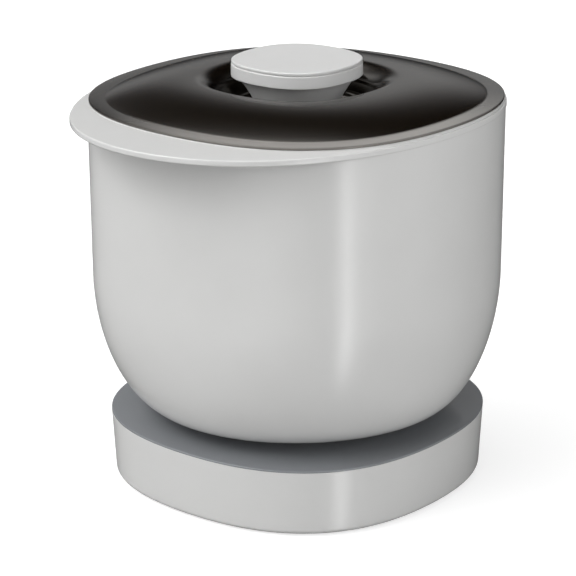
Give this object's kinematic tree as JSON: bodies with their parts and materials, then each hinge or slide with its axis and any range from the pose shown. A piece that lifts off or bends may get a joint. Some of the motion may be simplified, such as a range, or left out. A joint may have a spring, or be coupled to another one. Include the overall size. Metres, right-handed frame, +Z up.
{
  "type": "rice storage bucket",
  "caption": "Rounded-square dry-food storage bucket with a grip lip, a sealed smoke-tinted lift-off lid with a knob and desiccant cage, on a low stand.",
  "frame": {"origin": "on the bucket's upright axis, on the surface that the stand's rubber pads rest on", "axes": "+Z up along the axis, -Y towards the middle of the grip lip, +X to the right of it"},
  "size_m": [0.2324, 0.2621, 0.2548],
  "materials": {
    "stand_white": "satin moulded plastic",
    "stand_dark": "satin moulded plastic",
    "pad_rubber": "soft matt",
    "screw_steel": "plain zinc",
    "bucket_white": "satin moulded plastic",
    "lid_smoke": "polished smoke-tinted clear plastic",
    "seal_orange": "soft satin silicone",
    "knob_white": "satin moulded plastic",
    "cage_clear": "polished clear smoke plastic"
  },
  "bodies": {
    "base": {"base_shell": "stand_white", "base_top": "stand_dark", "base_foot_1": "pad_rubber", "base_foot_2": "pad_rubber", "base_foot_3": "pad_rubber", "base_foot_4": "pad_rubber", "base_screws": "screw_steel", "bucket": "bucket_white"},
    "lid": {"lid": "lid_smoke", "lid_seal": "seal_orange", "knob": "knob_white", "knob_cap": "knob_white", "knob_washer": "pad_rubber", "cage_collar": "cage_clear"},
    "cage": {"desiccant_cage": "cage_clear"}
  },
  "joints": [
    {"name": "lid_lift", "type": "slide", "parent": "base", "child": "lid", "axis": [0, 0, 1], "range_m": [0, 0.08]},
    {"name": "cage_twist", "type": "hinge", "parent": "lid", "child": "cage", "pos_m": [0, 0, 0.2], "axis": [0, 0, 1], "range_deg": [0, 60]}
  ]
}
